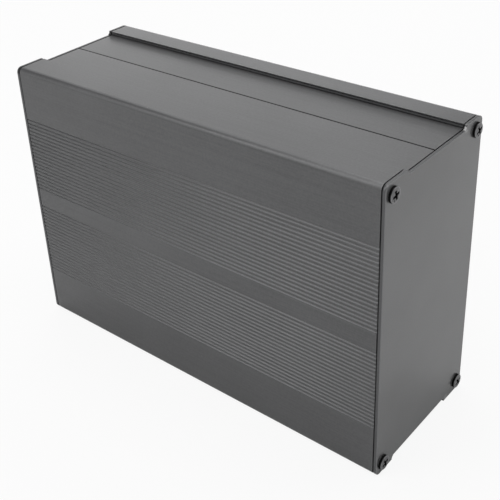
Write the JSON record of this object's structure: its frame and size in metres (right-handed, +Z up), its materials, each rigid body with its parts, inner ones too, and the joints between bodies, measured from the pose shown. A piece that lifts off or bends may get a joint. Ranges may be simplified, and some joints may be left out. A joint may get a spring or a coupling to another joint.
{
  "type": "extruded aluminium enclosure",
  "caption": "Split-shell extruded aluminium electronics case with grooved broad faces, a shallow channel along each narrow side, flat end plates and corner screws.",
  "frame": {"origin": "middle of the footprint on which the case stands", "axes": "+X along the extrusion towards the right end plate, +Y from the front shell to the rear shell, +Z up across the broad faces"},
  "size_m": [0.1552, 0.055, 0.105],
  "materials": {
    "shell": "black anodised, satin",
    "end_plate": "black anodised, fine satin",
    "screw": "blackened steel, slightly glossy"
  },
  "bodies": {
    "root": {"front_shell": "shell", "rear_shell": "shell", "left_end_plate": "end_plate", "right_end_plate": "end_plate", "screw_left_front_top": "screw", "screw_left_front_bottom": "screw", "screw_left_rear_top": "screw", "screw_left_rear_bottom": "screw", "screw_right_front_top": "screw", "screw_right_front_bottom": "screw", "screw_right_rear_top": "screw", "screw_right_rear_bottom": "screw"}
  },
  "joints": []
}
